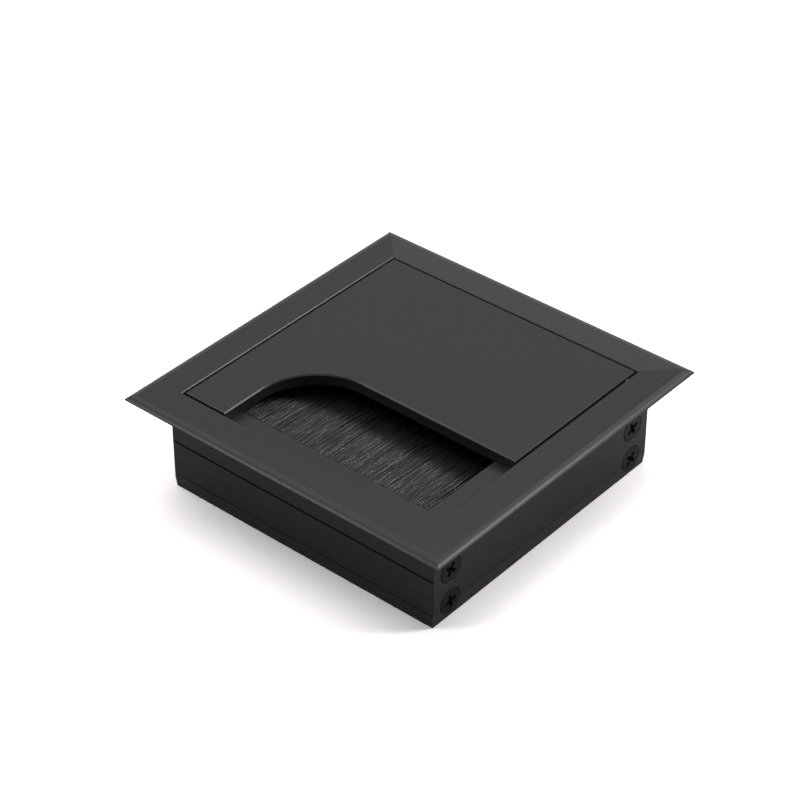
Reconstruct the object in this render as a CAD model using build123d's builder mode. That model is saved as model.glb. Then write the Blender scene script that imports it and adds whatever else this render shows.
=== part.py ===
from build123d import *
import os
from math import cos, radians, sin

os.makedirs("parts", exist_ok=True)

# A square desk cable grommet. Four mitred aluminium rails make a box with a flange that hangs it in a
# desk top. A lid with a cable notch lies flush in the flange and flips up on two pins at the rear, and a
# strip brush held in the front rail fills the notch. All sizes are in millimetres. The origin is the
# middle of the base, +Z is up, -Y is the front with the notch, and the screws enter from -X and +X.

# Flange and box
flange_size = 80.0
flange_thickness = 1.2
flange_edge_land = 0.3  # upright edge left below the rounded rim
flange_rim_width = 2.0  # how far in from the edge the rim starts to fall
opening_chamfer = 0.2  # broken edge round the lid opening
body_size = 67.6  # outside of the box that drops into the desk
wall = 1.8
box_depth = 14.1  # base to the underside of the brush channel
lead_in_height = 3.2  # slight taper round the foot of the box, with a fine line along its top
lead_in_depth = 0.3
mitre_gap = 0.03  # hairline between two mitred ends
corner_break = 0.15  # taken off each corner of the box, along its diagonal
groove_width = 0.5  # drill line along the front and rear walls
groove_depth = 0.4
foot_slot_width = 0.3  # the fine line in the front and rear walls, a slot
foot_slot_depth = 0.15
foot_vee_width = 0.5  # the fine line in the side walls, a shallow V
foot_vee_depth = 0.1

# Ledge that carries the lid, and the brush channel under it in the front rail
ledge_width = 5.4
ledge_thickness = 1.6
rib_thickness = 1.4  # floor of the brush channel
lip_width = 0.8  # lips that keep the brush in its channel
lip_height = 0.5

# Countersunk screws and the ports that they enter
screw_head = 5.6
screw_head_land = 0.15
screw_shank = 3.0
screw_length = 12.0
screw_tip = 0.6
screw_inset = 5.2  # outside of the box to a screw's axis
lower_screw_height = 3.8  # above the base
recess_span = 3.2  # cross recess in the head
recess_width = 0.8
recess_depth = 0.9
recess_draft = 12.0  # degrees
countersink_angle = 90.0
port_wall = 1.2
port_slot = 1.3  # the port is open along its inner side
port_web_root = 0.9  # how far the web behind a port runs into the wall
port_merge = 0.15  # how far the upper port runs into the channel floor
screw_clearance = 0.05
countersink_clearance = 0.07

# Lid and hinge
lid_thickness = 2.5
lid_gap = 0.55
lid_edge_chamfer = 0.12
notch_width = 52.4  # from the lid's right edge
notch_depth = 24.6  # from the lid's front edge
notch_radius = 14.5
notch_edge_chamfer = 0.25
hinge_setback = 2.6  # lid's rear edge to the hinge axis
lid_open_angle = 105.0
lid_stop_clearance = 0.08
pin_diameter = 1.5
pin_in_lid = 3.4
pin_in_rail = 1.1
pin_chamfer = 0.15
pin_fit = 0.01
pin_running_clearance = 0.05
pin_end_clearance = 0.15

# Strip brush
channel_height = 3.2
channel_sheet = 0.5
channel_clearance = 0.1
brush_end_gap = 0.2
core_wire = 0.9
core_clearance = 0.02
bristle_clearance = 0.05
bristle_overlap = 4.5  # how far the tips reach in under the lid
bristle_fan = 0.5  # how much thicker the pack is above and below at its tips
lock_pitch = 1.3  # bristles bunch into locks
lock_groove = 0.6  # width of the furrow between two locks at the tips
lock_split = 4.0  # how far the locks part at the tips

# Worked out from the sizes above
flange_edge = flange_size / 2
outside = body_size / 2
inside = outside - wall
port_bore = screw_shank / 2 + screw_clearance
port_radius = port_bore + port_wall
channel_room = channel_height + 2 * channel_clearance
rib_top = box_depth + rib_thickness
ledge_under = rib_top + channel_room
ledge_top = ledge_under + ledge_thickness
top = ledge_top + lid_thickness
seat = top - flange_thickness
ledge_edge = inside - ledge_width
screw_line = outside - screw_inset
upper_screw_height = box_depth - port_radius + port_merge
screw_heights = (lower_screw_height, upper_screw_height)

lid_edge = inside - lid_gap
notch_left = lid_edge - notch_width
notch_rear = notch_depth - lid_edge
hinge_y = lid_edge - hinge_setback
hinge_z = top - lid_thickness / 2
open_turn = radians(lid_open_angle)
tail_reach = lid_thickness / 2 * sin(open_turn) - hinge_setback * cos(open_turn)
ledge_stop = hinge_y - tail_reach - lid_stop_clearance

brush_middle = rib_top + channel_room / 2
brush_half = ledge_edge - brush_end_gap
channel_back = -inside + channel_clearance
channel_mouth = -(ledge_edge + lip_width) - channel_clearance
root_half = channel_height / 2 - channel_sheet - bristle_clearance
root_back = channel_back + channel_sheet + bristle_clearance
tip_half = root_half + bristle_fan
bristle_tip = notch_rear + bristle_overlap


def side_plane(turn):
    """Section plane of the side that faces front after a turn about Z: its X is outward, its Y is up."""
    outward = Vector(0, -1, 0).rotate(Axis.Z, turn)
    along = Vector(-1, 0, 0).rotate(Axis.Z, turn)
    return Plane(origin=(0, 0, 0), x_dir=outward, z_dir=along)


def frame_section():
    """Wall with the flange at its top and the lead-in taper at its foot, the same on all four sides."""
    rim_start = flange_edge - flange_rim_width
    rim_foot = seat + flange_edge_land
    with BuildSketch() as section:
        with BuildLine():
            Polyline((inside, top - opening_chamfer), (inside + opening_chamfer, top), (rim_start, top))
            TangentArc((rim_start, top), (flange_edge, rim_foot), tangent=(1, 0))
            Polyline(
                (flange_edge, rim_foot),
                (flange_edge, seat),
                (outside, seat),
                (outside, lead_in_height),
                (outside - lead_in_depth, 0),
                (inside, 0),
                (inside, top - opening_chamfer),
            )
        make_face()
    return section.sketch


def screw_port_section():
    """The two open screw ports inside a front or rear wall, and the two lines cut into its outer face."""
    with BuildSketch() as section:
        add(frame_section())
        with Locations(*[(screw_line, height) for height in screw_heights]):
            Circle(port_radius)
            Rectangle(inside - screw_line + port_web_root, port_radius, align=(Align.MIN, Align.CENTER))
        with Locations(*[(screw_line, height) for height in screw_heights]):
            Circle(port_bore, mode=Mode.SUBTRACT)
            Rectangle(2 * port_radius, port_slot, align=(Align.MAX, Align.CENTER), mode=Mode.SUBTRACT)
        with Locations((outside, upper_screw_height)):
            Rectangle(2 * groove_depth, groove_width, mode=Mode.SUBTRACT)
        with Locations((outside, lead_in_height)):
            Rectangle(2 * foot_slot_depth, foot_slot_width, mode=Mode.SUBTRACT)
    return section.sketch


def mitred_quarter(turn):
    """Quarter of the square plan that one rail fills, a hairline short of its neighbours."""
    apex = mitre_gap / 2 * 2**0.5
    with BuildSketch(Plane.XY.rotated((0, 0, turn))) as quarter:
        Polygon((0, -apex), (-flange_size, -flange_size - apex), (flange_size, -flange_size - apex), align=None)
    return quarter.sketch


def broken_corners():
    """Plan of what is filed off the four corners of the box: each keeps a narrow flat across its diagonal."""
    with BuildSketch() as corners:
        with GridLocations(body_size, body_size, 2, 2):
            Rectangle(2 * corner_break, 2 * corner_break, rotation=45)
    return corners.sketch


# Front rail: carries the front ledge, and under it the channel that holds the brush
with BuildPart() as front_rail:
    with BuildSketch(side_plane(0)):
        add(screw_port_section())
        with Locations((inside, ledge_top)):
            Rectangle(ledge_width, ledge_thickness, align=(Align.MAX, Align.MAX))
        with Locations((inside, rib_top)):
            Rectangle(ledge_width, rib_thickness, align=(Align.MAX, Align.MAX))
        with Locations((ledge_edge, ledge_under)):
            Rectangle(lip_width, lip_height, align=(Align.MIN, Align.MAX))
        with Locations((ledge_edge, rib_top)):
            Rectangle(lip_width, lip_height, align=(Align.MIN, Align.MIN))
    extrude(amount=flange_edge, both=True)
    extrude(mitred_quarter(0), amount=top, mode=Mode.INTERSECT)
    extrude(broken_corners(), amount=seat, mode=Mode.SUBTRACT)
front_rail.part.label = "front_rail"

# Rear rail: no ledge, so that the tail of the lid can swing down past it
with BuildPart() as rear_rail:
    with BuildSketch(side_plane(180)):
        add(screw_port_section())
    extrude(amount=flange_edge, both=True)
    extrude(mitred_quarter(180), amount=top, mode=Mode.INTERSECT)
    extrude(broken_corners(), amount=seat, mode=Mode.SUBTRACT)
rear_rail.part.label = "rear_rail"

# Right rail: a wall with a V line above its foot, a ledge that ends short of the lid's tail, four
# countersunk screw holes and a blind hole for a hinge pin
with BuildPart() as right_rail:
    with BuildSketch(side_plane(90)):
        add(frame_section())
        with Locations((inside, ledge_top)):
            Rectangle(ledge_width, ledge_thickness, align=(Align.MAX, Align.MAX))
        with Locations((outside, lead_in_height)):
            Polygon(
                (0, -foot_vee_width / 2),
                (0, foot_vee_width / 2),
                (-foot_vee_depth, 0),
                align=None,
                mode=Mode.SUBTRACT,
            )
    extrude(amount=flange_edge, both=True)
    extrude(mitred_quarter(90), amount=top, mode=Mode.INTERSECT)
    extrude(broken_corners(), amount=seat, mode=Mode.SUBTRACT)
    with BuildSketch(Plane.XY.offset(ledge_under)):
        with Locations((inside, ledge_stop)):
            Rectangle(ledge_width, inside, align=(Align.MAX, Align.MIN))
    extrude(amount=ledge_thickness, mode=Mode.SUBTRACT)
    with Locations(Plane(origin=(outside, 0, 0), x_dir=(0, 1, 0), z_dir=(1, 0, 0))):
        with Locations(*[(end * screw_line, height) for end in (-1, 1) for height in screw_heights]):
            CounterSinkHole(
                radius=screw_shank / 2 + screw_clearance,
                counter_sink_radius=screw_head / 2 + screw_head_land + countersink_clearance,
                depth=screw_inset - port_radius,
                counter_sink_angle=countersink_angle,
            )
    with Locations(Plane(origin=(inside, hinge_y, hinge_z), z_dir=(-1, 0, 0))):
        Hole(radius=pin_diameter / 2 + pin_running_clearance, depth=pin_in_rail + pin_end_clearance)
right_rail.part.label = "right_rail"

with BuildPart() as left_rail:
    mirror(right_rail.part, about=Plane.YZ)
left_rail.part.label = "left_rail"


def follows_outline(edge):
    """True for a top edge that follows the lid's square outline."""
    return max(abs(edge.center().X), abs(edge.center().Y)) > lid_edge - notch_edge_chamfer


def runs_round_notch(edge):
    """True for a top edge that runs round the lid's notch."""
    return not follows_outline(edge)


# Lid: a flat plate with its front right corner cut away for cables
with BuildPart() as lid:
    with BuildSketch(Plane.XY.offset(ledge_top)) as lid_plan:
        Rectangle(2 * lid_edge, 2 * lid_edge)
        with Locations((lid_edge, -lid_edge)):
            Rectangle(notch_width, notch_depth, align=(Align.MAX, Align.MIN), mode=Mode.SUBTRACT)
        notch_corner = lid_plan.vertices().sort_by_distance((notch_left, notch_rear, ledge_top))[0]
        fillet(notch_corner, notch_radius)
    extrude(amount=lid_thickness)
    for chosen, size in ((runs_round_notch, notch_edge_chamfer), (follows_outline, lid_edge_chamfer)):
        chamfer(lid.faces().sort_by(Axis.Z)[-1].edges().filter_by(chosen), size)
    for side in (-1, 1):
        with Locations(Plane(origin=(side * lid_edge, hinge_y, hinge_z), z_dir=(side, 0, 0))):
            Hole(radius=pin_diameter / 2 + pin_fit, depth=pin_in_lid)
lid.part.label = "lid"

# Hinge pins: pressed into the lid's edges, turning in the side rails
pin_length = pin_in_lid + lid_gap + pin_in_rail
with BuildPart() as right_hinge_pin:
    with BuildSketch(Plane(origin=(lid_edge - pin_in_lid, hinge_y, hinge_z), z_dir=(1, 0, 0))):
        Circle(pin_diameter / 2)
    extrude(amount=pin_length)
    chamfer(right_hinge_pin.edges().filter_by(GeomType.CIRCLE), pin_chamfer)
right_hinge_pin.part.label = "right_hinge_pin"

with BuildPart() as left_hinge_pin:
    mirror(right_hinge_pin.part, about=Plane.YZ)
left_hinge_pin.part.label = "left_hinge_pin"

# Frame screws: countersunk, with a cross recess, through the side rails into the ports
with BuildPart() as screw:
    with BuildSketch(Plane.XZ):
        with BuildLine():
            cone_foot = screw_head_land + (screw_head - screw_shank) / 2
            Polyline(
                (0, 0),
                (screw_head / 2, 0),
                (screw_head / 2, -screw_head_land),
                (screw_shank / 2, -cone_foot),
                (screw_shank / 2, screw_tip - screw_length),
                (screw_shank / 2 - screw_tip, -screw_length),
                (0, -screw_length),
                close=True,
            )
        make_face()
    revolve(axis=Axis.Z)
    with BuildSketch():
        Rectangle(recess_span, recess_width)
        Rectangle(recess_width, recess_span)
    extrude(amount=-recess_depth, taper=recess_draft, mode=Mode.SUBTRACT)

with BuildPart() as frame_screws:
    for side in (-1, 1):
        with Locations(Plane(origin=(side * outside, 0, 0), x_dir=(0, side, 0), z_dir=(side, 0, 0))):
            with Locations(*[(end * screw_line, height) for end in (-1, 1) for height in screw_heights]):
                add(screw.part)
frame_screws.part.label = "frame_screws"

# Brush channel: a folded strip, open towards the middle of the box
with BuildPart() as brush_channel:
    with BuildSketch(Plane.YZ):
        with Locations((channel_back, brush_middle)):
            Rectangle(channel_mouth - channel_back, channel_height, align=(Align.MIN, Align.CENTER))
        with Locations((channel_back + channel_sheet, brush_middle)):
            Rectangle(
                channel_mouth - channel_back,
                channel_height - 2 * channel_sheet,
                align=(Align.MIN, Align.CENTER),
                mode=Mode.SUBTRACT,
            )
    extrude(amount=brush_half, both=True)
brush_channel.part.label = "brush_channel"

# Core wire: the bristles are folded over it inside the channel
core_y = root_back + root_half
with BuildPart() as brush_core_wire:
    with BuildSketch(Plane.YZ):
        with Locations((core_y, brush_middle)):
            Circle(core_wire / 2)
    extrude(amount=brush_half, both=True)
brush_core_wire.part.label = "brush_core_wire"

# Bristles: one pack, rounded where it folds over the wire, that fans out and parts into locks at its tips
lock_count = int(2 * brush_half / lock_pitch)
lock_width = 2 * brush_half / lock_count
lip_face = -ledge_edge
with BuildPart() as bristles:
    with BuildSketch(Plane.YZ) as pack_side:
        with BuildLine():
            Polyline((core_y, brush_middle - root_half), (lip_face, brush_middle - root_half))
            Polyline(
                (lip_face, brush_middle - root_half),
                (bristle_tip, brush_middle - tip_half),
                (bristle_tip, brush_middle + tip_half),
                (lip_face, brush_middle + root_half),
                (core_y, brush_middle + root_half),
            )
            ThreePointArc(
                (core_y, brush_middle + root_half),
                (root_back, brush_middle),
                (core_y, brush_middle - root_half),
            )
        make_face()
        with Locations((core_y, brush_middle)):
            Circle(core_wire / 2 + core_clearance, mode=Mode.SUBTRACT)
    extrude(amount=brush_half, both=True)
    with BuildSketch(Plane.XZ.offset(-lip_face)):
        for face in (-1, 1):
            with Locations((0, brush_middle + face * tip_half)):
                with GridLocations(lock_width, 0, lock_count - 1, 1):
                    Polygon(
                        (-lock_groove / 2, 0),
                        (lock_groove / 2, 0),
                        (0, -face * bristle_fan),
                        align=None,
                    )
    extrude(amount=lip_face - bristle_tip, mode=Mode.SUBTRACT)
    with BuildSketch(Plane.XY.offset(brush_middle)):
        with Locations((0, bristle_tip)):
            with GridLocations(lock_width, 0, lock_count - 1, 1):
                Polygon((-lock_groove / 2, 0), (lock_groove / 2, 0), (0, -lock_split), align=None)
    extrude(amount=tip_half, both=True, mode=Mode.SUBTRACT)
bristles.part.label = "bristles"

pieces = (
    front_rail,
    rear_rail,
    left_rail,
    right_rail,
    lid,
    left_hinge_pin,
    right_hinge_pin,
    frame_screws,
    brush_channel,
    brush_core_wire,
    bristles,
)
for piece in pieces:
    export_step(piece.part, f"parts/{piece.part.label}.step")
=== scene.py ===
# %% [markdown]
# # A square desk cable grommet
# The grommet hangs in a hole in a desk top. Its frame is four mitred aluminium rails, its lid lies flush
# in them and flips up on two pins, and a strip brush closes the cable notch. The solids come from the
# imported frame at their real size, so this lesson gives them their finishes and makes only three pieces
# anew: the bristles, which are one plain pack there, the screws, which have no thread there, and the
# adhesive in the mitre joints, which the solids leave out.

import math
import random

import bmesh
import bpy
from mathutils import Matrix, Vector


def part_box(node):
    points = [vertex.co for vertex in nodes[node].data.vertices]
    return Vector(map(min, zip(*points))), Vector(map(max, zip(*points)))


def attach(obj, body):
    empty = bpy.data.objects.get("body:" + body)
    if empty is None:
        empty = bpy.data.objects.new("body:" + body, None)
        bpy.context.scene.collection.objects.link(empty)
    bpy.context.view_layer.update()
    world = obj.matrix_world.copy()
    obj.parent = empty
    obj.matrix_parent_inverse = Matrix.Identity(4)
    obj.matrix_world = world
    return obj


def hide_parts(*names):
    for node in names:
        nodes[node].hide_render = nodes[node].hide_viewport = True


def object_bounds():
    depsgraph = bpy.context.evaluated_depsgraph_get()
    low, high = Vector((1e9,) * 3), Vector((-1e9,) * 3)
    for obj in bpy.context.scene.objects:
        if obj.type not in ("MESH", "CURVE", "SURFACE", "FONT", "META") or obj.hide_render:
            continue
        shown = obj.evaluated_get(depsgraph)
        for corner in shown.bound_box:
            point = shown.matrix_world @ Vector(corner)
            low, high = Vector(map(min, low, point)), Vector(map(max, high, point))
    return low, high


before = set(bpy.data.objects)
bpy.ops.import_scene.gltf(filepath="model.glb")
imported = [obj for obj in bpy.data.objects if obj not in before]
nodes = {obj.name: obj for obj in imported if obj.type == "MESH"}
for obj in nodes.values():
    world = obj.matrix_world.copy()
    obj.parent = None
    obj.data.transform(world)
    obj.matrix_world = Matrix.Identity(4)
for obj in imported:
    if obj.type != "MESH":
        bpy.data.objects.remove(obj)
cad_low, cad_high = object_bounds()
MM = 0.001
print("solids", sorted(nodes))
print("size in mm", [round(side / MM, 2) for side in cad_high - cad_low])

# %% [markdown]
# ## Camera
# The grommet was photographed from its front right corner, from above, with a long lens, so its edges
# hardly converge. A camera is easiest to set by what a photographer would say: which way round the object
# it stands, how high, how far away, and what it looks at. The numbers come from fitting the flange's
# edges.

# %% Camera at the photograph's place
scene = bpy.context.scene
scene.view_settings.view_transform = "Standard"
look_at = Vector((-3.8, 0.9, 16.2)) * MM


def add_object(name, data):
    """Puts a camera, a lamp or a mesh in the scene as an object of this name."""
    thing = bpy.data.objects.new(name, data)
    scene.collection.objects.link(thing)
    return thing


def aim(thing, azimuth, elevation, distance):
    """Stands a camera or lamp off at angles in degrees, azimuth 0 in front and growing to the right."""
    turn = math.radians(azimuth)
    tilt = math.radians(elevation)
    outward = Vector((math.sin(turn) * math.cos(tilt), -math.cos(turn) * math.cos(tilt), math.sin(tilt)))
    place = look_at + outward * distance
    thing.location = place
    thing.rotation_euler = (look_at - place).to_track_quat("-Z", "Y").to_euler()


camera_data = bpy.data.cameras.new("camera")
camera_data.sensor_width = 36.0
camera_data.lens = 112.5
camera = add_object("camera", camera_data)
aim(camera, azimuth=40.4, elevation=36.4, distance=500.5 * MM)
scene.camera = camera
print("camera at mm", [round(c / MM, 1) for c in camera.location])

# %% [markdown]
# ## Nodes and colours
# Every material below is a small tree of nodes. One function adds a node, sets it and links it, so that a
# material reads from top to bottom like a recipe. Colours are written as the sRGB hex values that one
# would pick from a picture, and turned to the linear values that the renderer mixes.

# %% Helpers for materials


def hex_colour(code):
    """Linear RGBA of an sRGB hex colour such as #2a2a2b."""
    shares = [int(code[i : i + 2], 16) / 255 for i in (1, 3, 5)]
    return [s / 12.92 if s <= 0.04045 else ((s + 0.055) / 1.055) ** 2.4 for s in shares] + [1.0]


def add_node(tree, kind, values=None, links=None, **settings):
    """Adds one node, with its settings, its socket values and the sockets that feed it."""
    node = tree.nodes.new(kind)
    for name, setting in settings.items():
        setattr(node, name, setting)
    for socket, value in (values or {}).items():
        node.inputs[socket].default_value = value
    for socket, source in (links or {}).items():
        tree.links.new(source, node.inputs[socket])
    return node


def new_material(name):
    """An empty material with its output node, ready for a recipe."""
    material = bpy.data.materials.new(name)
    material.use_nodes = True
    material.node_tree.nodes.clear()
    output = add_node(material.node_tree, "ShaderNodeOutputMaterial")
    return material, material.node_tree, output


def per_mm(size):
    """Texture scale, in patterns per metre, of a pattern that is this many millimetres across."""
    return 1 / (size * MM)


print("middle grey in linear light", round(hex_colour("#808080")[0], 3))

# %% [markdown]
# ## Floor and world
# A product picture on white has a pale floor that fades into the background and keeps a soft shadow. A
# sheet that is white to the camera would also throw much light up at the grommet and show as a white
# glare in its walls. So the paper has three tones, chosen by what looks at it: a middle grey for the
# light that it passes on, a pale grey for what the metal mirrors, and a bright one for the camera, which
# reaches white a little way out from the shadow. The bright one goes past what a hex value can say, so
# all three are written as linear shares. The world is set up in the same way: dim as a light, white where
# it is seen or mirrored.

# %% Floor sheet
floor_size = 4.0


def finished_mesh(shape, name):
    """Turns a bmesh into a mesh of this name and frees it."""
    mesh = bpy.data.meshes.new(name)
    shape.to_mesh(mesh)
    shape.free()
    return mesh


shape = bmesh.new()
bmesh.ops.create_grid(shape, x_segments=1, y_segments=1, size=floor_size / 2)
floor_mesh = finished_mesh(shape, "floor")
floor = add_object("floor", floor_mesh)
floor.location.z = cad_low.z
print("floor at z mm", round(floor.location.z / MM, 2))

# %% Floor paper


def lookers(tree):
    """Two sockets, each 1 for its own rays: from the camera, and off a shiny or clear face."""
    path = add_node(tree, "ShaderNodeLightPath")
    mirrored = add_node(tree, "ShaderNodeMath", operation="MAXIMUM",
                        links={0: path.outputs["Is Glossy Ray"], 1: path.outputs["Is Transmission Ray"]})
    return path.outputs["Is Camera Ray"], mirrored.outputs[0]


floor_paper, tree, output = new_material("white_paper_floor")
from_camera, from_shine = lookers(tree)
lit_paper = add_node(tree, "ShaderNodeBsdfDiffuse", values={"Color": (0.5, 0.5, 0.5, 1)})
mirrored_paper = add_node(tree, "ShaderNodeBsdfDiffuse", values={"Color": (0.72, 0.72, 0.72, 1)})
seen_paper = add_node(tree, "ShaderNodeBsdfDiffuse", values={"Color": (1.72, 1.669, 1.66, 1)})
unseen_paper = add_node(tree, "ShaderNodeMixShader",
                        links={0: from_shine, 1: lit_paper.outputs[0], 2: mirrored_paper.outputs[0]})
paper = add_node(tree, "ShaderNodeMixShader",
                 links={0: from_camera, 1: unseen_paper.outputs[0], 2: seen_paper.outputs[0]})
tree.links.new(paper.outputs[0], output.inputs["Surface"])
floor_mesh.materials.append(floor_paper)
print("floor is", floor_paper.name)

# %% World
world = bpy.data.worlds.new("studio")
scene.world = world
world.use_nodes = True
tree = world.node_tree
tree.nodes.clear()
output = add_node(tree, "ShaderNodeOutputWorld")
from_camera, from_shine = lookers(tree)
shown = add_node(tree, "ShaderNodeMath", links={0: from_camera, 1: from_shine}, operation="MAXIMUM")
room = add_node(tree, "ShaderNodeBackground", values={"Color": (1, 1, 1, 1), "Strength": 0.15})
white = add_node(tree, "ShaderNodeBackground", values={"Color": (1, 1, 1, 1), "Strength": 1.0})
background = add_node(tree, "ShaderNodeMixShader",
                      links={0: shown.outputs[0], 1: room.outputs[0], 2: white.outputs[0]})
tree.links.new(background.outputs[0], output.inputs["Surface"])
print("room light", round(room.inputs["Strength"].default_value, 2))

# %% [markdown]
# ## Lamps
# One large softbox hangs above and a little behind, which is why the walls stay dark and the notch is
# shaded at its back. A matt black face shows mostly what it mirrors, so the other four lamps are placed
# for their reflections: a softbox on each side gives the rounded rim of the flange its slow rise in
# brightness, and a slim strip on each side draws the bright lines along the edges that are cut at about
# 45 degrees.

# %% Softboxes and strips


def add_lamp(name, azimuth, elevation, distance, size, watts):
    """A rectangular area lamp that looks at the grommet."""
    data = bpy.data.lights.new(name, "AREA")
    data.shape = "RECTANGLE"
    data.size, data.size_y = size
    data.energy = watts
    aim(add_object(name, data), azimuth, elevation, distance)


add_lamp("softbox_above", azimuth=245, elevation=76, distance=0.7, size=(0.7, 0.7), watts=3.4)
add_lamp("softbox_left", azimuth=300, elevation=50, distance=0.9, size=(0.7, 0.35), watts=1.2)
add_lamp("softbox_right", azimuth=158, elevation=46, distance=0.9, size=(0.55, 0.35), watts=2.2)
add_lamp("strip_front_left", azimuth=-40, elevation=35, distance=0.9, size=(0.2, 0.06), watts=1.2)
add_lamp("strip_behind_right", azimuth=134, elevation=36, distance=0.9, size=(0.2, 0.06), watts=2.7)

# %% [markdown]
# ## Matt black anodised aluminium
# Anodising grows a hard oxide layer on the metal and dyes it black. The eye gets a dark neutral grey with
# a soft sheen, no mirror image, and a very fine grain from the etching bath. Extruded rails also keep
# faint lines along their length from the die, so each pair of rails has its lines along its own axis, and
# the lid, which is a cut plate, has only the grain. The sheen is that of the clear oxide over the dye, so
# the shader is a coloured dielectric and not bare metal. The real grain is a few hundredths of a
# millimetre: it is drawn about five times coarser, so that it shows at this distance. The rear rail is
# given a paler colour than its neighbours: a painted sheen, standing in for the brighter light on it.

# %% Anodised aluminium
grain_mm = 0.22
die_line_gap_mm = 0.35
die_line_length_mm = 60
die_line_share = 0.35
etching_depth = 0.02 * MM


def anodised_aluminium(name, colour, along=None):
    """Etched and dyed aluminium; along is the axis, 0 or 1, that an extruded rail's die lines follow."""
    material, tree, output = new_material(name)
    where = add_node(tree, "ShaderNodeTexCoord")
    grain = add_node(tree, "ShaderNodeTexNoise",
                     values={"Scale": per_mm(grain_mm), "Detail": 3.0, "Roughness": 0.6},
                     links={"Vector": where.outputs["Object"]})
    stretch = [per_mm(die_line_gap_mm)] * 3
    if along is not None:
        stretch[along] = per_mm(die_line_length_mm)
    drawn = add_node(tree, "ShaderNodeMapping", values={"Scale": stretch},
                     links={"Vector": where.outputs["Object"]})
    lines = add_node(tree, "ShaderNodeTexNoise", values={"Scale": 1.0, "Detail": 2.0},
                     links={"Vector": drawn.outputs[0]})
    faint = add_node(tree, "ShaderNodeMath", operation="MULTIPLY", values={1: die_line_share},
                     links={0: lines.outputs[0]})
    height = add_node(tree, "ShaderNodeMath", operation="ADD",
                      links={0: grain.outputs[0], 1: faint.outputs[0]})
    shade = add_node(tree, "ShaderNodeMapRange",
                     values={"From Min": 0.45, "From Max": 0.9, "To Min": 0.85, "To Max": 1.15},
                     links={"Value": height.outputs[0]})
    tint = add_node(tree, "ShaderNodeMix", values={"Factor": 1.0, 6: hex_colour(colour)},
                    links={7: shade.outputs[0]}, data_type="RGBA", blend_type="MULTIPLY")
    rough = add_node(tree, "ShaderNodeMapRange",
                     values={"From Min": 0.35, "From Max": 1.0, "To Min": 0.25, "To Max": 0.33},
                     links={"Value": height.outputs[0]})
    bump = add_node(tree, "ShaderNodeBump", values={"Strength": 0.15, "Distance": etching_depth},
                    links={"Height": height.outputs[0]})
    oxide = add_node(tree, "ShaderNodeBsdfPrincipled", values={"Specular IOR Level": 0.15},
                     links={"Base Color": tint.outputs[2], "Roughness": rough.outputs[0],
                            "Normal": bump.outputs[0]})
    tree.links.new(oxide.outputs[0], output.inputs["Surface"])
    return material


black_dye = "#282829"
# Painted sheen: the rear rail's paler colour stands in for the brighter light that falls on it.
painted_sheen_dye = "#333334"
deep_rail = anodised_aluminium("black_anodised_rail_deep", black_dye, along=1)
finishes = {
    "front_rail": anodised_aluminium("black_anodised_rail_across", black_dye, along=0),
    # painted sheen on the rear rail
    "rear_rail": anodised_aluminium("black_anodised_rail_painted_sheen", painted_sheen_dye, along=0),
    "left_rail": deep_rail,
    "right_rail": deep_rail,
    "lid": anodised_aluminium("black_anodised_plate", black_dye),
}
print("anodised", sorted(finishes))

# %% [markdown]
# ## Steel
# The hinge pins and the brush's core wire are ground steel. It is bare but dull, and coloured darker than
# bare steel: painted shade, so that no bright dot shows where a pin crosses the lid's shaded gap. The
# brush's folded channel is galvanised strip with its large dull spangle. The frame screws are blackened
# in an oxide bath: the eye gets a deep black that is no shinier than the rail round it, so most of the
# gloss is taken off and only a trace of metal is left.

# %% Steel finishes


def steel(name, colour, roughness, metallic, spangle_mm, specular=0.5):
    """Steel whose shade and gloss vary in patches that are this many millimetres across."""
    material, tree, output = new_material(name)
    where = add_node(tree, "ShaderNodeTexCoord")
    patches = add_node(tree, "ShaderNodeTexNoise", values={"Scale": per_mm(spangle_mm), "Detail": 3.0},
                       links={"Vector": where.outputs["Object"]})
    rough = add_node(tree, "ShaderNodeMapRange",
                     values={"From Min": 0.3, "From Max": 0.7,
                             "To Min": roughness * 0.8, "To Max": roughness * 1.25},
                     links={"Value": patches.outputs[0]})
    shade = add_node(tree, "ShaderNodeMapRange",
                     values={"From Min": 0.3, "From Max": 0.7, "To Min": 0.85, "To Max": 1.1},
                     links={"Value": patches.outputs[0]})
    tint = add_node(tree, "ShaderNodeMix", values={"Factor": 1.0, 6: hex_colour(colour)},
                    links={7: shade.outputs[0]}, data_type="RGBA", blend_type="MULTIPLY")
    metal = add_node(tree, "ShaderNodeBsdfPrincipled",
                     values={"Metallic": metallic, "Specular IOR Level": specular},
                     links={"Base Color": tint.outputs[2], "Roughness": rough.outputs[0]})
    tree.links.new(metal.outputs[0], output.inputs["Surface"])
    return material


# Painted shade: the pin steel is coloured darker than bare steel, so a pin in the lid's shaded gap shows
# no bright dot.
ground_steel = steel("ground_steel_painted_shade", "#5a5b5d", roughness=0.5, metallic=1.0, spangle_mm=0.4)
galvanised = steel("galvanised_strip", "#9a9c9f", roughness=0.42, metallic=1.0, spangle_mm=3.0)
black_oxide = steel("black_oxide_steel", "#1a1a1c", roughness=0.4, metallic=0.2, spangle_mm=0.6,
                    specular=0.1)
for name in ("left_hinge_pin", "right_hinge_pin", "brush_core_wire"):
    finishes[name] = ground_steel
finishes["brush_channel"] = galvanised

for name, finish in finishes.items():
    mesh = nodes[name].data
    mesh.materials.clear()
    mesh.materials.append(finish)
print("finished", sorted(finishes))

# %% [markdown]
# ## Nylon
# Bristles are drawn nylon filament: smooth, black and a little shiny, so a brush is a field of fine
# lines, each with its own highlight. No two are quite alike. Their gloss and shade come from a noise that
# is a little finer than one bristle and stretched along it, so neighbours differ and each one keeps its
# own look from root to tip.

# %% Nylon filament
streak_mm = 0.12
streak_length_mm = 30


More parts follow.
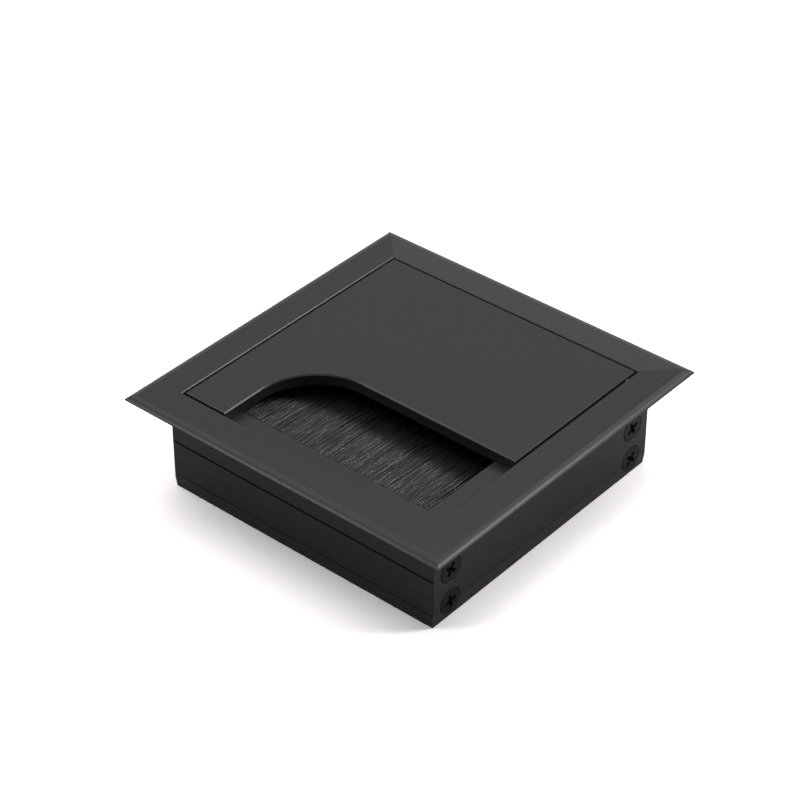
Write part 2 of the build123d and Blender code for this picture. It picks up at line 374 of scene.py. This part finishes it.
def drawn_nylon(name, colour):
    """Black nylon filament, each bristle of a slightly different shade and gloss."""
    material, tree, output = new_material(name)
    where = add_node(tree, "ShaderNodeTexCoord")
    across = add_node(tree, "ShaderNodeMapping",
                      values={"Scale": (per_mm(streak_mm), per_mm(streak_length_mm), per_mm(streak_mm))},
                      links={"Vector": where.outputs["Object"]})
    each = add_node(tree, "ShaderNodeTexNoise", values={"Scale": 1.0, "Detail": 1.0},
                    links={"Vector": across.outputs[0]})
    shade = add_node(tree, "ShaderNodeMapRange",
                     values={"From Min": 0.4, "From Max": 0.62, "To Min": 0.15, "To Max": 2.6},
                     links={"Value": each.outputs[0]})
    tint = add_node(tree, "ShaderNodeMix", values={"Factor": 1.0, 6: hex_colour(colour)},
                    links={7: shade.outputs[0]}, data_type="RGBA", blend_type="MULTIPLY")
    rough = add_node(tree, "ShaderNodeMapRange",
                     values={"From Min": 0.38, "From Max": 0.62, "To Min": 0.55, "To Max": 0.15},
                     links={"Value": each.outputs[0]})
    nylon = add_node(tree, "ShaderNodeBsdfPrincipled", values={"IOR": 1.53, "Specular IOR Level": 0.35},
                     links={"Base Color": tint.outputs[2], "Roughness": rough.outputs[0]})
    tree.links.new(nylon.outputs[0], output.inputs["Surface"])
    return material


black_nylon = drawn_nylon("black_nylon_bristle", "#202021")
print("bristles are", black_nylon.name)

# %% [markdown]
# ## Bristles
# A strip brush is some thousands of straight filaments, folded over a wire and clamped in a channel. They
# leave it side by side in layers, spread a little, and their free ends sag by about a millimetre, so the
# part under the lid looks dark and the part near the front catches the light. A particle system would
# give hair that the export can't keep. Here one master bristle, a slim cone cut into rings, is copied and
# bent into place, so the bristles are plain mesh. The real ones are about 0.15 mm thick: somewhat fewer
# and thicker ones close the brush as well.

# %% One master bristle
bristle_thickness = 0.2 * MM
bristle_tip_radius = bristle_thickness * 0.3
bristle_rings = 4
bristle_sides = 6
master_length = 1.0


def triangle_count(mesh):
    """How many triangles the faces of a mesh come to."""
    return sum(len(face.vertices) - 2 for face in mesh.polygons)


shape = bmesh.new()
bmesh.ops.create_cone(shape, cap_ends=True, segments=bristle_sides, radius1=bristle_thickness / 2,
                      radius2=bristle_tip_radius, depth=master_length)
long_edges = [edge for edge in shape.edges if edge.calc_length() > master_length / 2]
bmesh.ops.subdivide_edges(shape, edges=long_edges, cuts=bristle_rings - 1)
bmesh.ops.translate(shape, verts=shape.verts, vec=(0, 0, master_length / 2))
lying_down = Matrix.Rotation(math.radians(-90), 3, "X")
bmesh.ops.rotate(shape, verts=shape.verts, cent=(0, 0, 0), matrix=lying_down)
master_bristle = finished_mesh(shape, "master_bristle")
print("master bristle triangles", triangle_count(master_bristle))

# %% [markdown]
# ### Layers of bristles
# The master is one metre long and lies along Y, so a point's y says how far along the bristle it is, from
# 0 at the root to 1 at the tip. Every bristle has a column, a layer, and small random departures. Upper
# layers lie over the gaps of the next, which leaves fine dark lines between them, and the lower ones
# close what shows through. Four columns at a time lean together and end at about the same length, as
# locks do.

# %% Bending one bristle
pack_low, pack_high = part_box("bristles")
pack_middle = (pack_low.z + pack_high.z) / 2
channel_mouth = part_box("brush_channel")[1].y
clamped_length = 2.0 * MM
root_y = channel_mouth - clamped_length


def bend_bristle(verts, root_x, tip_y, root_rise, tip_rise, lean, bow):
    """Lays a copy of the master from its root to its tip, leaning and bowed to the side."""
    for vert in verts:
        along = vert.co.y
        side = root_x + lean * along**2 + bow * math.sin(math.pi * along)
        rise = root_rise * (1 - along) + tip_rise * along
        vert.co.x += max(pack_low.x, min(pack_high.x, side))
        vert.co.y = root_y + (tip_y - root_y) * along
        vert.co.z += pack_middle + rise


print("longest bristle in mm", round((pack_high.y - root_y) / MM, 2))

# %% The brush
column_count = 96
layer_count = 10
lock_columns = 4
column_pitch = (pack_high.x - pack_low.x) / column_count
upper_stagger = 0.5
lower_stagger = 0.4
root_half = 1.0 * MM
tip_sag = 1.6 * MM
tip_half = (pack_high.z - pack_low.z - tip_sag) / 2 - bristle_thickness

column_spread = 0.1
level_spread = 0.12
lean_spread = 0.12 * MM
bow_spread = 0.06 * MM
reach_spread = 0.35 * MM
lock_lean_spread = 0.1 * MM
lock_shortest = -0.5 * MM
lock_longest = 0.4 * MM

chance = random.Random(7)
shape = bmesh.new()
for column in range(column_count):
    if column % lock_columns == 0:
        lock_lean = chance.gauss(0, lock_lean_spread)
        lock_reach = chance.uniform(lock_shortest, lock_longest)
    for layer in range(layer_count):
        level = 2 * layer / (layer_count - 1) - 1
        stagger = (upper_stagger if level > 0 else lower_stagger) * layer % 1
        root_x = pack_low.x + (column + stagger + chance.gauss(0, column_spread)) * column_pitch
        tip_level = max(-1.0, min(1.0, level + chance.gauss(0, level_spread)))
        lean = lock_lean + chance.gauss(0, lean_spread)
        bow = chance.gauss(0, bow_spread)
        tip_y = pack_high.y + min(0, lock_reach + chance.gauss(0, reach_spread))
        first = len(shape.verts)
        shape.from_mesh(master_bristle)
        shape.verts.ensure_lookup_table()
        bend_bristle(shape.verts[first:], root_x, tip_y, root_rise=root_half * level,
                     tip_rise=tip_half * tip_level - tip_sag / 2, lean=lean, bow=bow)
print("bristles", column_count * layer_count)

# %% Brush on the frame
brush_mesh = finished_mesh(shape, "brush_bristles")
bpy.data.meshes.remove(master_bristle)
brush_mesh.shade_smooth()
brush_mesh.materials.append(black_nylon)
brush = add_object("brush_bristles", brush_mesh)
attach(brush, "frame")
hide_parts("bristles")
print("brush triangles", triangle_count(brush_mesh))

# %% [markdown]
# ## Frame screws
# Eight countersunk screws pull the mitred rails together. A screw is a turned part, so everything on it
# but the cross runs round one axis. Its thread could be left to bump, but it shows through the open screw
# ports from below, so it is real: the outline of one pitch is spun round the axis and rises one pitch
# with every turn, which makes each turn close on the one before. A few turns too many are made, two
# planes cut the ends square, and from there the head and the tip are drawn on ring by ring. Heights count
# from the face of the head, so those below it are negative.

# %% Thread of one screw
thread_radius = 1.5 * MM
thread_root = 1.2 * MM
thread_pitch = 0.5 * MM
thread_steps = 24
thread_top = -2.4 * MM
thread_foot = -11.4 * MM
spare_turns = 3
thread_turns = math.ceil((thread_top - thread_foot) / thread_pitch) + spare_turns
touching = 0.001 * MM
pitch_outline = (
    (thread_root, 0.0),
    (thread_root, 0.25),
    (thread_radius, 0.55),
    (thread_radius, 0.7),
    (thread_root, 1.0),
)

shape = bmesh.new()
start = thread_foot - spare_turns / 2 * thread_pitch
corners = [shape.verts.new((radius, 0, start + rise * thread_pitch)) for radius, rise in pitch_outline]
outline = [shape.edges.new(pair) for pair in zip(corners, corners[1:])]
bmesh.ops.spin(shape, geom=corners + outline, cent=(0, 0, 0), axis=(0, 0, 1),
               angle=2 * math.pi * thread_turns, steps=thread_steps * thread_turns,
               dvec=(0, 0, thread_pitch / thread_steps))
bmesh.ops.remove_doubles(shape, verts=shape.verts, dist=touching)
for height, outward in ((thread_top, 1), (thread_foot, -1)):
    everything = shape.verts[:] + shape.edges[:] + shape.faces[:]
    bmesh.ops.bisect_plane(shape, geom=everything, dist=touching, plane_co=(0, 0, height),
                           plane_no=(0, 0, outward), clear_outer=True)
print("thread turns", thread_turns, "faces", len(shape.faces))

# %% Head and tip of one screw
head_radius = 2.8 * MM
head_rim = 0.15 * MM
head_edge = 0.04 * MM
countersink = head_radius - thread_radius
neck_foot = -2.0 * MM
tip_radius = 0.9 * MM
tip_end = -12.0 * MM
head_rings = (
    (thread_radius, neck_foot),
    (thread_radius, -head_rim - countersink),
    (head_radius, -head_rim),
    (head_radius, -head_edge),
    (head_radius - head_edge, 0),
)
tip_rings = ((tip_radius, tip_end),)


def open_ring(shape, height):
    """The open edges of a shape that lie at this height."""
    return [edge for edge in shape.edges
            if edge.is_boundary and all(abs(vert.co.z - height) < touching for vert in edge.verts)]


def draw_on(shape, height, rings):
    """Carries the open ring at this height on through circles of a radius and a height, and caps it."""
    ring = open_ring(shape, height)
    for radius, ring_height in rings:
        made = bmesh.ops.extrude_edge_only(shape, edges=ring)["geom"]
        moved = {part for part in made if isinstance(part, bmesh.types.BMVert)}
        for vert in moved:
            vert.co.xy = vert.co.xy.normalized() * radius
            vert.co.z = ring_height
        edges = [part for part in made if isinstance(part, bmesh.types.BMEdge)]
        ring = [edge for edge in edges if moved.issuperset(edge.verts)]
    bmesh.ops.edgeloop_fill(shape, edges=ring)


draw_on(shape, thread_top, head_rings)
draw_on(shape, thread_foot, tip_rings)
bmesh.ops.recalc_face_normals(shape, faces=shape.faces)
print("open edges of the blank", sum(edge.is_boundary for edge in shape.edges))
blank_mesh = finished_mesh(shape, "screw_blank")

# %% [markdown]
# ### Cross recess
# A punch with four tapered wings and a blunt point presses the cross into the head. The same happens
# here: the punch is two crossed cubes with drafted sides and a cone, and a Boolean modifier takes it out
# of the blank. The punch stands out a little above the head, so that its top and the face of the head
# don't lie in one plane.

# %% Punch for the cross recess
recess_span = 3.2 * MM
recess_width = 0.8 * MM
recess_depth = 0.9 * MM
recess_draft = math.tan(math.radians(12))
point_depth = 1.1 * MM
point_radius = 0.25 * MM
core_radius = 0.85 * MM
core_sides = 20
overshoot = 0.2 * MM

shape = bmesh.new()
for span, width in ((recess_span, recess_width), (recess_width, recess_span)):
    for vert in bmesh.ops.create_cube(shape, size=2.0)["verts"]:
        depth = recess_depth if vert.co.z < 0 else -overshoot
        taper = depth * recess_draft
        vert.co = Vector((vert.co.x * (span / 2 - taper), vert.co.y * (width / 2 - taper), -depth))
core = bmesh.ops.create_cone(shape, cap_ends=True, segments=core_sides, radius1=point_radius,
                             radius2=core_radius, depth=point_depth + overshoot)
bmesh.ops.translate(shape, verts=core["verts"], vec=(0, 0, (overshoot - point_depth) / 2))
punch_mesh = finished_mesh(shape, "recess_punch")
print("punch faces", len(punch_mesh.polygons))

# %% Pressing the recess
blank = add_object("screw_blank", blank_mesh)
punch = add_object("recess_punch", punch_mesh)
press = blank.modifiers.new("recess", "BOOLEAN")
press.operation = "DIFFERENCE"
press.solver = "EXACT"
press.use_self = True
press.object = punch
pressed = blank.evaluated_get(bpy.context.evaluated_depsgraph_get())
screw_mesh = bpy.data.meshes.new_from_object(pressed)
for tool, tool_mesh in ((blank, blank_mesh), (punch, punch_mesh)):
    bpy.data.objects.remove(tool)
    bpy.data.meshes.remove(tool_mesh)
print("screw triangles", triangle_count(screw_mesh))

# %% [markdown]
# ### Eight screws
# The solids' box says where the heads lie: two rows and two columns on each side rail. Every screw stops
# at its own angle when it is driven home, so each is turned a little differently.

# %% Eight screws in their holes
screws_low, screws_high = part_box("frame_screws")
widest_turn = 40
chance = random.Random(3)
shape = bmesh.new()
for side in (-1, 1):
    for screw_y in (screws_low.y + head_radius, screws_high.y - head_radius):
        for screw_z in (screws_low.z + head_radius, screws_high.z - head_radius):
            first = len(shape.verts)
            shape.from_mesh(screw_mesh)
            shape.verts.ensure_lookup_table()
            turn = math.radians(chance.uniform(-widest_turn, widest_turn))
            turned = Matrix.Rotation(turn, 4, "Z")
            facing = Matrix.Rotation(side * math.pi / 2, 4, "Y")
            place = Matrix.Translation((side * screws_high.x, screw_y, screw_z))
            bmesh.ops.transform(shape, matrix=place @ facing @ turned, verts=shape.verts[first:])
screws_mesh = finished_mesh(shape, "threaded_screws")
bpy.data.meshes.remove(screw_mesh)
screws_mesh.shade_smooth()
screws_mesh.set_sharp_from_angle(angle=math.radians(30))
screws_mesh.materials.append(black_oxide)
screws = add_object("threaded_screws", screws_mesh)
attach(screws, "frame")
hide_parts("frame_screws")
print("screws in mm", [round(c / MM, 2) for c in screws_low], [round(c / MM, 2) for c in screws_high])

# %% [markdown]
# ## Mitre joints
# The rails are glued where their ends meet, before the screws pull them together. So black adhesive fills
# the hairline between two rails: it stays a fine dark line on the flange, and no light comes through it
# when one looks along the cut. The film has the outline of a rail's end, so the end faces of the front
# and rear rails are copied and thickened by the width of the hairline.

# %% Black adhesive
black_adhesive, tree, output = new_material("black_adhesive")
cured = add_node(tree, "ShaderNodeBsdfPrincipled",
                 values={"Base Color": hex_colour("#101010"), "Roughness": 0.6, "IOR": 1.5})
tree.links.new(cured.outputs[0], output.inputs["Surface"])
print("mitres are filled with", black_adhesive.name)

# %% Film in the mitres
hairline = 0.03 * MM
diagonal_slack = 0.1 * MM
least_slant = 0.6


def lies_in_mitre(face):
    """True for a face that is cut at about 45 degrees, along a diagonal of the frame."""
    slanted = min(abs(face.normal.x), abs(face.normal.y)) > least_slant
    return slanted and abs(face.calc_center_median().dot(face.normal)) < diagonal_slack


shape = bmesh.new()
for name in ("front_rail", "rear_rail"):
    shape.from_mesh(nodes[name].data)
shape.normal_update()
elsewhere = [face for face in shape.faces if not lies_in_mitre(face)]
bmesh.ops.delete(shape, geom=elsewhere, context="FACES")
bmesh.ops.remove_doubles(shape, verts=shape.verts, dist=touching)
copied = bmesh.ops.extrude_face_region(shape, geom=shape.faces[:])["geom"]
for vert in copied:
    if isinstance(vert, bmesh.types.BMVert):
        vert.co += Vector((vert.co.x, -vert.co.y, 0)).normalized() * hairline
bmesh.ops.recalc_face_normals(shape, faces=shape.faces)
print("film faces", len(shape.faces), "open edges", sum(edge.is_boundary for edge in shape.edges))
film_mesh = finished_mesh(shape, "mitre_adhesive")
film_mesh.materials.append(black_adhesive)
film = add_object("mitre_adhesive", film_mesh)
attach(film, "frame")
